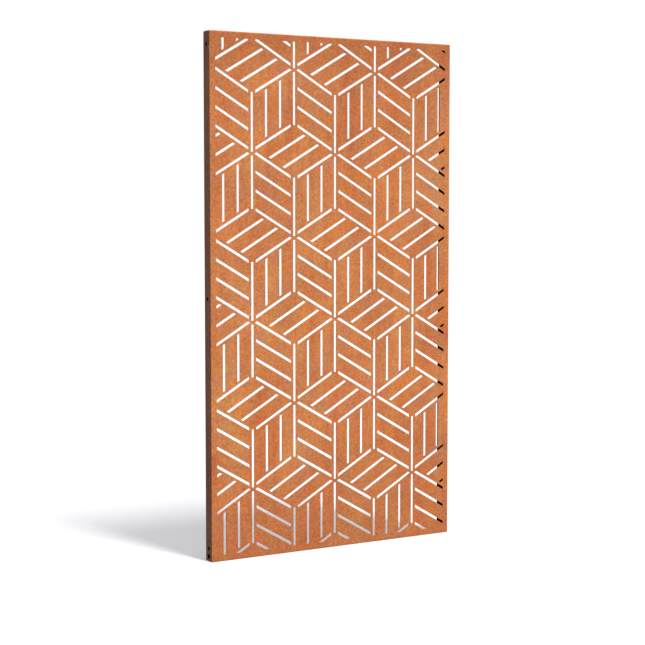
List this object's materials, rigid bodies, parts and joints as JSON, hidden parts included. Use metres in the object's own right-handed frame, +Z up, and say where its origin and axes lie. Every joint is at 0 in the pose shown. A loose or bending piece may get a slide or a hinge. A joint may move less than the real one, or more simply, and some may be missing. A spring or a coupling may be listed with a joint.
{
  "type": "fence panel",
  "caption": "Upright weathering-steel fence panel, laser-cut with a tumbling-cube slot pattern, on a welded rim with bolt holes in its sides.",
  "frame": {"origin": "middle of the foot, halfway through the depth", "axes": "+Z up, +X to the right seen from the front, +Y from the cut face to the open back"},
  "size_m": [1.1, 0.05, 2],
  "materials": {
    "face_patina": "matt orange-brown rust patina",
    "rim_patina": "matt brown rust patina",
    "weld_patina": "matt orange-brown rust patina over dressed weld metal"
  },
  "bodies": {
    "root": {"face_sheet": "face_patina", "left_rim": "rim_patina", "right_rim": "rim_patina", "top_rim": "rim_patina", "bottom_rim": "rim_patina", "left_edge_weld": "weld_patina", "right_edge_weld": "weld_patina", "top_edge_weld": "weld_patina", "bottom_edge_weld": "weld_patina", "top_left_corner_weld": "weld_patina", "top_right_corner_weld": "weld_patina", "bottom_left_corner_weld": "weld_patina", "bottom_right_corner_weld": "weld_patina"}
  },
  "joints": []
}
